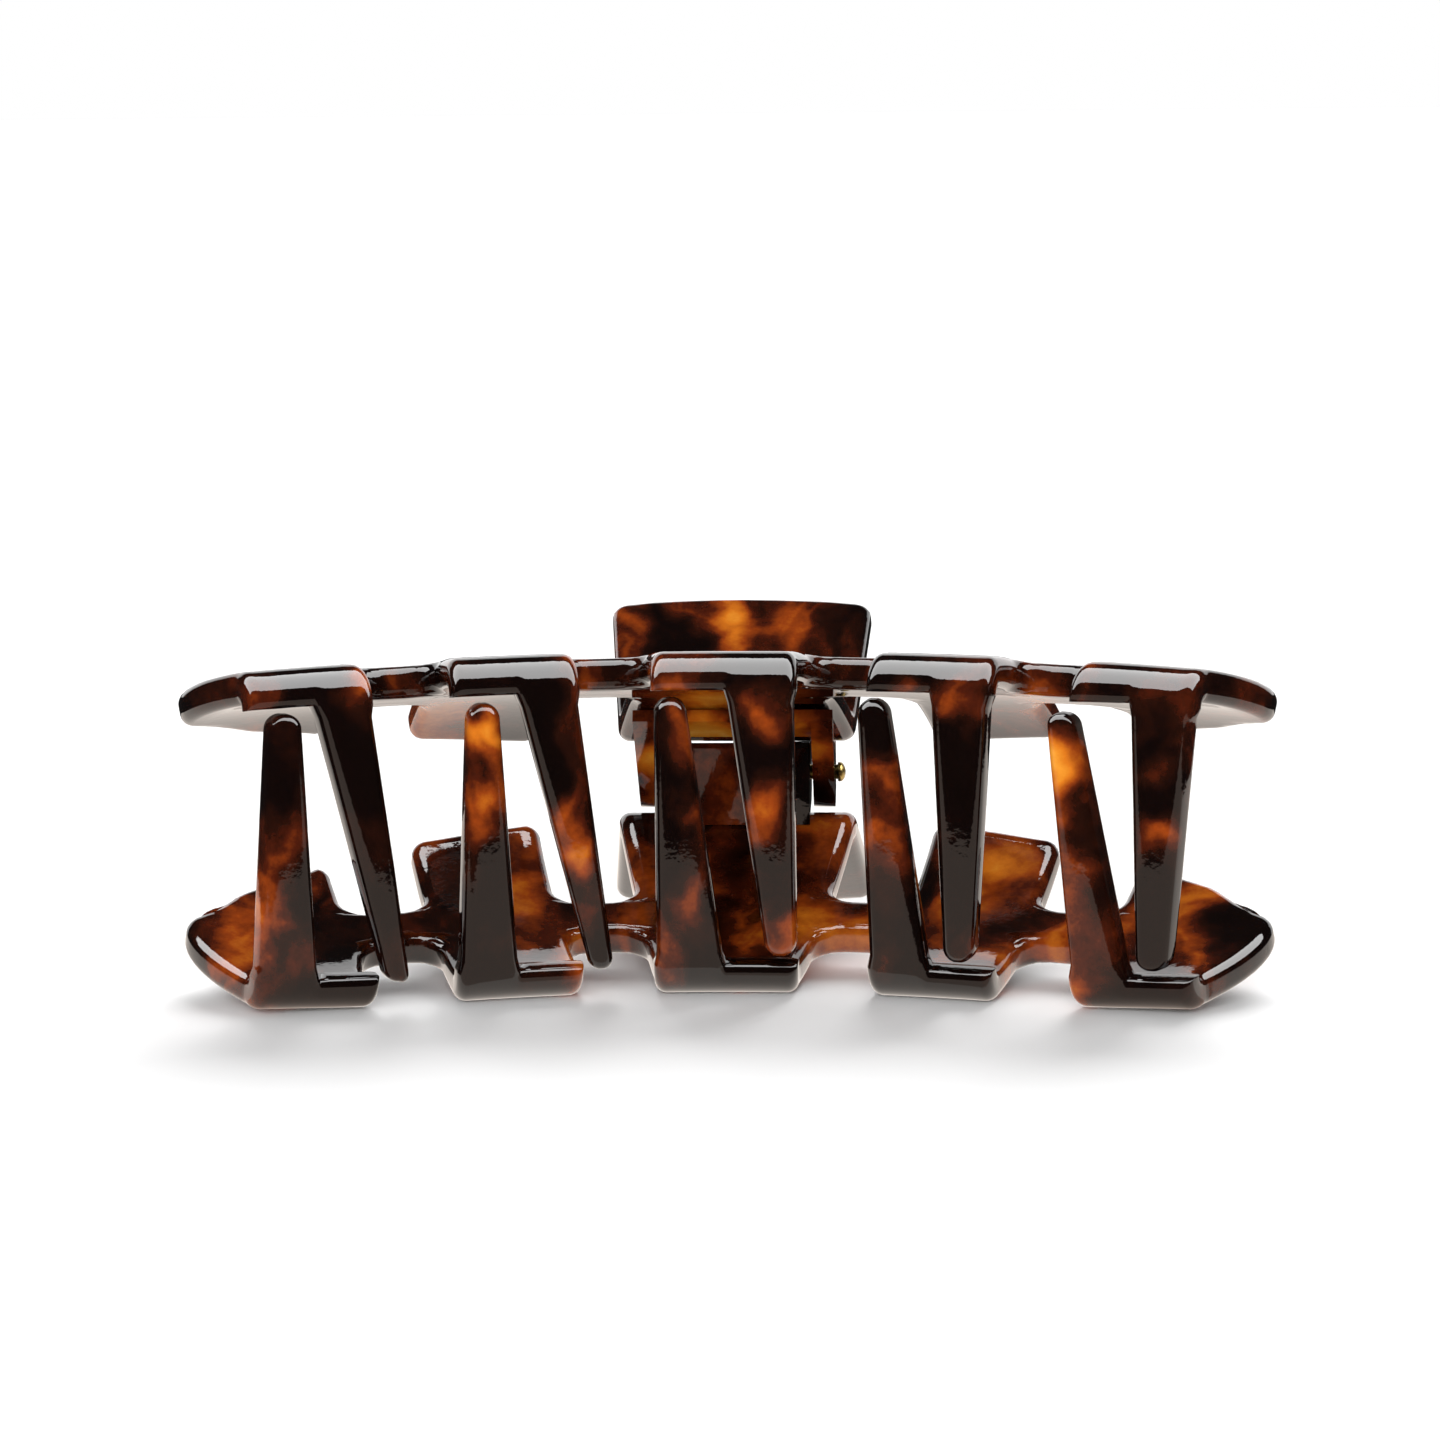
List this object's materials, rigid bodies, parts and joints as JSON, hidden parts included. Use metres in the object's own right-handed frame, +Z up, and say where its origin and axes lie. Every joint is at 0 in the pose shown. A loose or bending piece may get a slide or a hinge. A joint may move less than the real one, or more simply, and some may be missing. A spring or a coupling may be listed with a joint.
{
  "type": "claw clip",
  "caption": "Large sprung claw hair clip in glossy tortoiseshell acetate, with interlocking finger teeth on a curved spine and a squeeze handle on each jaw.",
  "frame": {"origin": "under the middle of the clip's box, on the surface that the clip lies on", "axes": "+X along the clip, +Y from the teeth to the handles, +Z up from the lower jaw to the upper jaw"},
  "size_m": [0.1062, 0.058, 0.0332],
  "materials": {
    "tortoiseshell": "polished cellulose acetate, near black with amber and orange flame patches",
    "bracket_tortoiseshell": "polished cellulose acetate, same sheet",
    "pin_brass": "dull antique brass",
    "spring_steel": "drawn spring wire"
  },
  "bodies": {
    "lower_jaw": {"lower_claw": "tortoiseshell", "lower_hinge_bracket": "bracket_tortoiseshell", "torsion_spring": "spring_steel"},
    "upper_jaw": {"upper_claw": "tortoiseshell", "upper_hinge_bracket": "bracket_tortoiseshell", "hinge_pin": "pin_brass"}
  },
  "joints": [
    {"name": "jaw_hinge", "type": "hinge", "parent": "lower_jaw", "child": "upper_jaw", "pos_m": [0, 0.01359, 0.01662], "axis": [-1, 0, 0], "range_deg": [0, 80], "stiffness_Nm_per_rad": 0.15, "springref_deg": -40.11, "deforming": ["torsion_spring"]}
  ]
}
